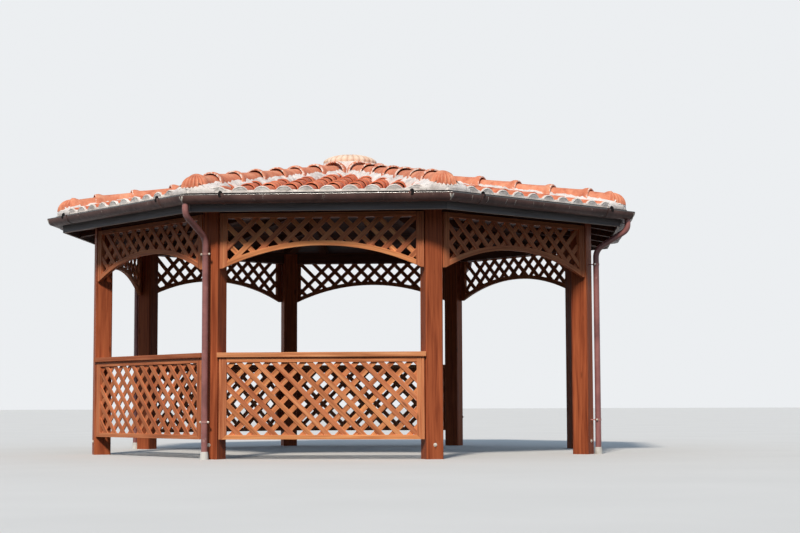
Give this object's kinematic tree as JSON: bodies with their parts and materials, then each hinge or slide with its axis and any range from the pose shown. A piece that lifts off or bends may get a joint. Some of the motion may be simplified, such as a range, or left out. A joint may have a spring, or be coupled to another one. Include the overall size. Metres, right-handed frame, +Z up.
{
  "type": "garden gazebo",
  "caption": "Octagonal timber gazebo with lattice railings, arched lattice valances, a low hipped roof of barrel tiles, gutters and rainwater pipes.",
  "frame": {"origin": "on the ground at the centre of the octagonal plan", "axes": "+Z up, the front railed bay faces -Y, +X to the right of someone who looks at that bay from outside"},
  "size_m": [6.0966, 6.0966, 3.2698],
  "materials": {
    "post_wood": "stained and satin",
    "panel_wood": "stained and satin",
    "roof_wood": "stained",
    "fascia_wood": "stained dark",
    "roof_tile": "unglazed terracotta",
    "ridge_tile": "unglazed terracotta, bedded in mortar",
    "mortar": "rough mortar",
    "cap_tile": "unglazed pale terracotta",
    "gutter_metal": "dark brown, satin",
    "bracket_metal": "dark brown, satin",
    "pipe_metal": "reddish brown, satin",
    "holder_metal": "dull",
    "socket_plastic": "white, weathered"
  },
  "bodies": {
    "root": {"post_front_right": "post_wood", "post_right_front": "post_wood", "post_right_back": "post_wood", "post_back_right": "post_wood", "post_back_left": "post_wood", "post_left_back": "post_wood", "post_left_front": "post_wood", "post_front_left": "post_wood", "ring_beams": "post_wood", "hip_rafters": "roof_wood", "rafters": "roof_wood", "rafter_hub": "roof_wood", "roof_boards": "roof_wood", "fascia_boards": "fascia_wood", "railing_front": "panel_wood", "railing_left_front": "panel_wood", "railing_left_back": "panel_wood", "railing_back": "panel_wood", "handrails": "panel_wood", "valance_front": "panel_wood", "valance_right_front": "panel_wood", "valance_right": "panel_wood", "valance_right_back": "panel_wood", "valance_back": "panel_wood", "valance_left_back": "panel_wood", "valance_left": "panel_wood", "valance_left_front": "panel_wood", "roof_tiles_front": "roof_tile", "roof_tiles_right_front": "roof_tile", "roof_tiles_right": "roof_tile", "roof_tiles_right_back": "roof_tile", "roof_tiles_back": "roof_tile", "roof_tiles_left_back": "roof_tile", "roof_tiles_left": "roof_tile", "roof_tiles_left_front": "roof_tile", "hip_ridges": "ridge_tile", "apex_bed": "mortar", "apex_cap": "cap_tile", "gutter": "gutter_metal", "gutter_brackets": "bracket_metal", "rain_pipes": "pipe_metal", "pipe_holders": "holder_metal", "drain_sockets": "socket_plastic"}
  },
  "joints": []
}
